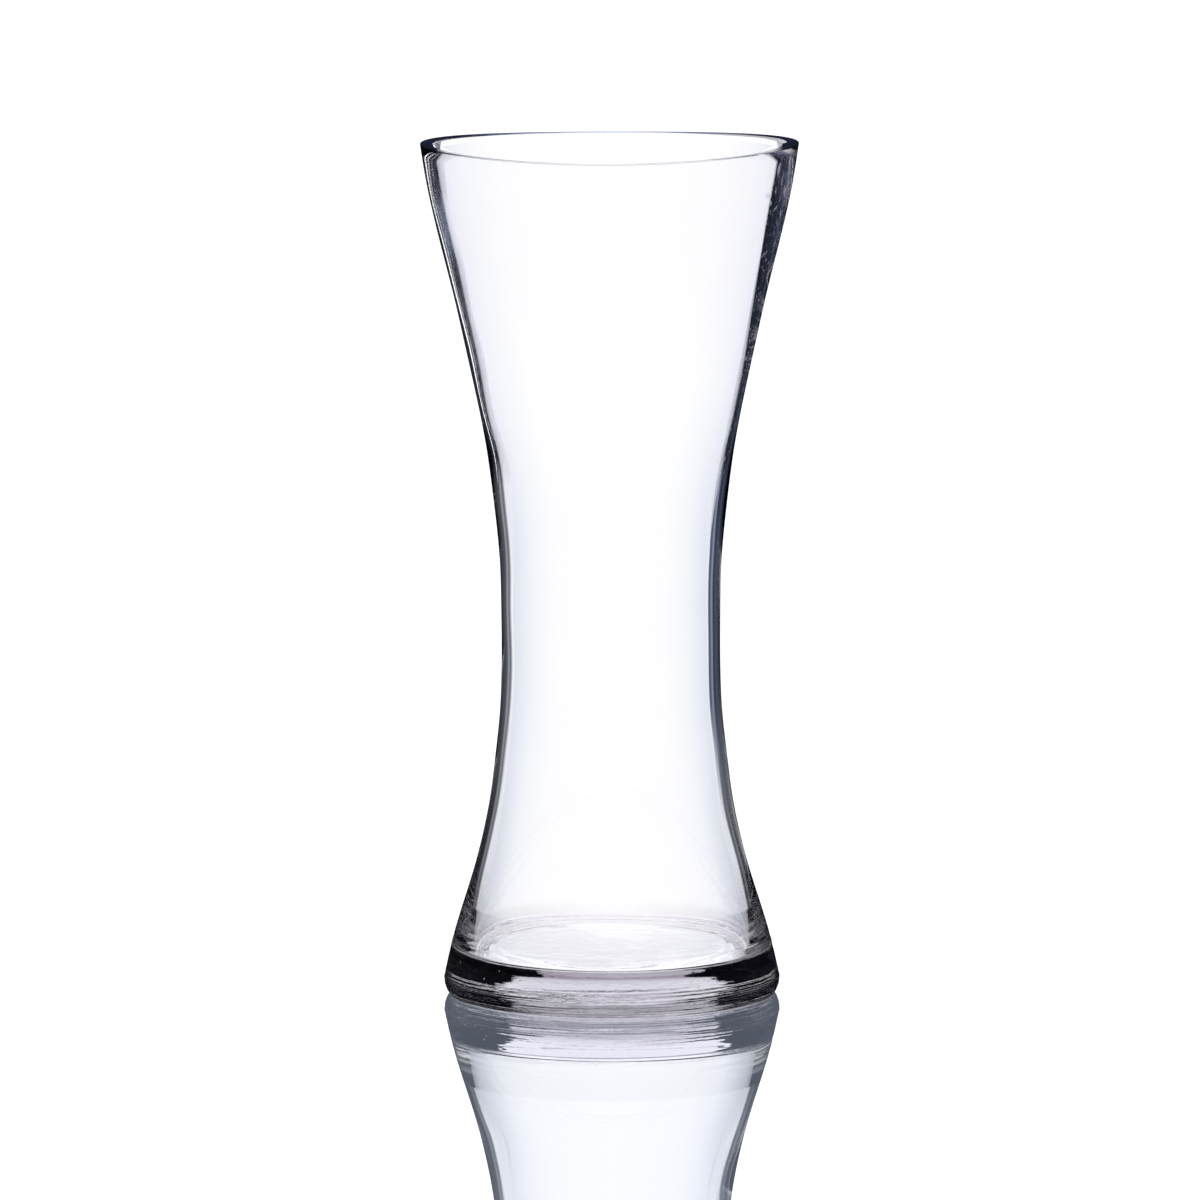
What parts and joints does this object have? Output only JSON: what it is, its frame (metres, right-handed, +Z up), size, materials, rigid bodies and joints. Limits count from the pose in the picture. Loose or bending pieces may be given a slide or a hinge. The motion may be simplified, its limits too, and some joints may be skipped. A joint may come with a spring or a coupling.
{
  "type": "flower vase",
  "caption": "Clear glass flower vase with a flared mouth, narrow waist, flared lower body and thick solid base that holds stems and water.",
  "frame": {"origin": "on the vase's axis, in the plane that the foot ring stands on", "axes": "+Z up along the axis of revolution, from the foot to the mouth; +X and +Y are any two level directions"},
  "size_m": [0.101, 0.101, 0.229],
  "materials": {
    "clear_glass": "fire-polished clear soda-lime glass"
  },
  "bodies": {
    "root": {"glass_vase": "clear_glass"}
  },
  "joints": []
}
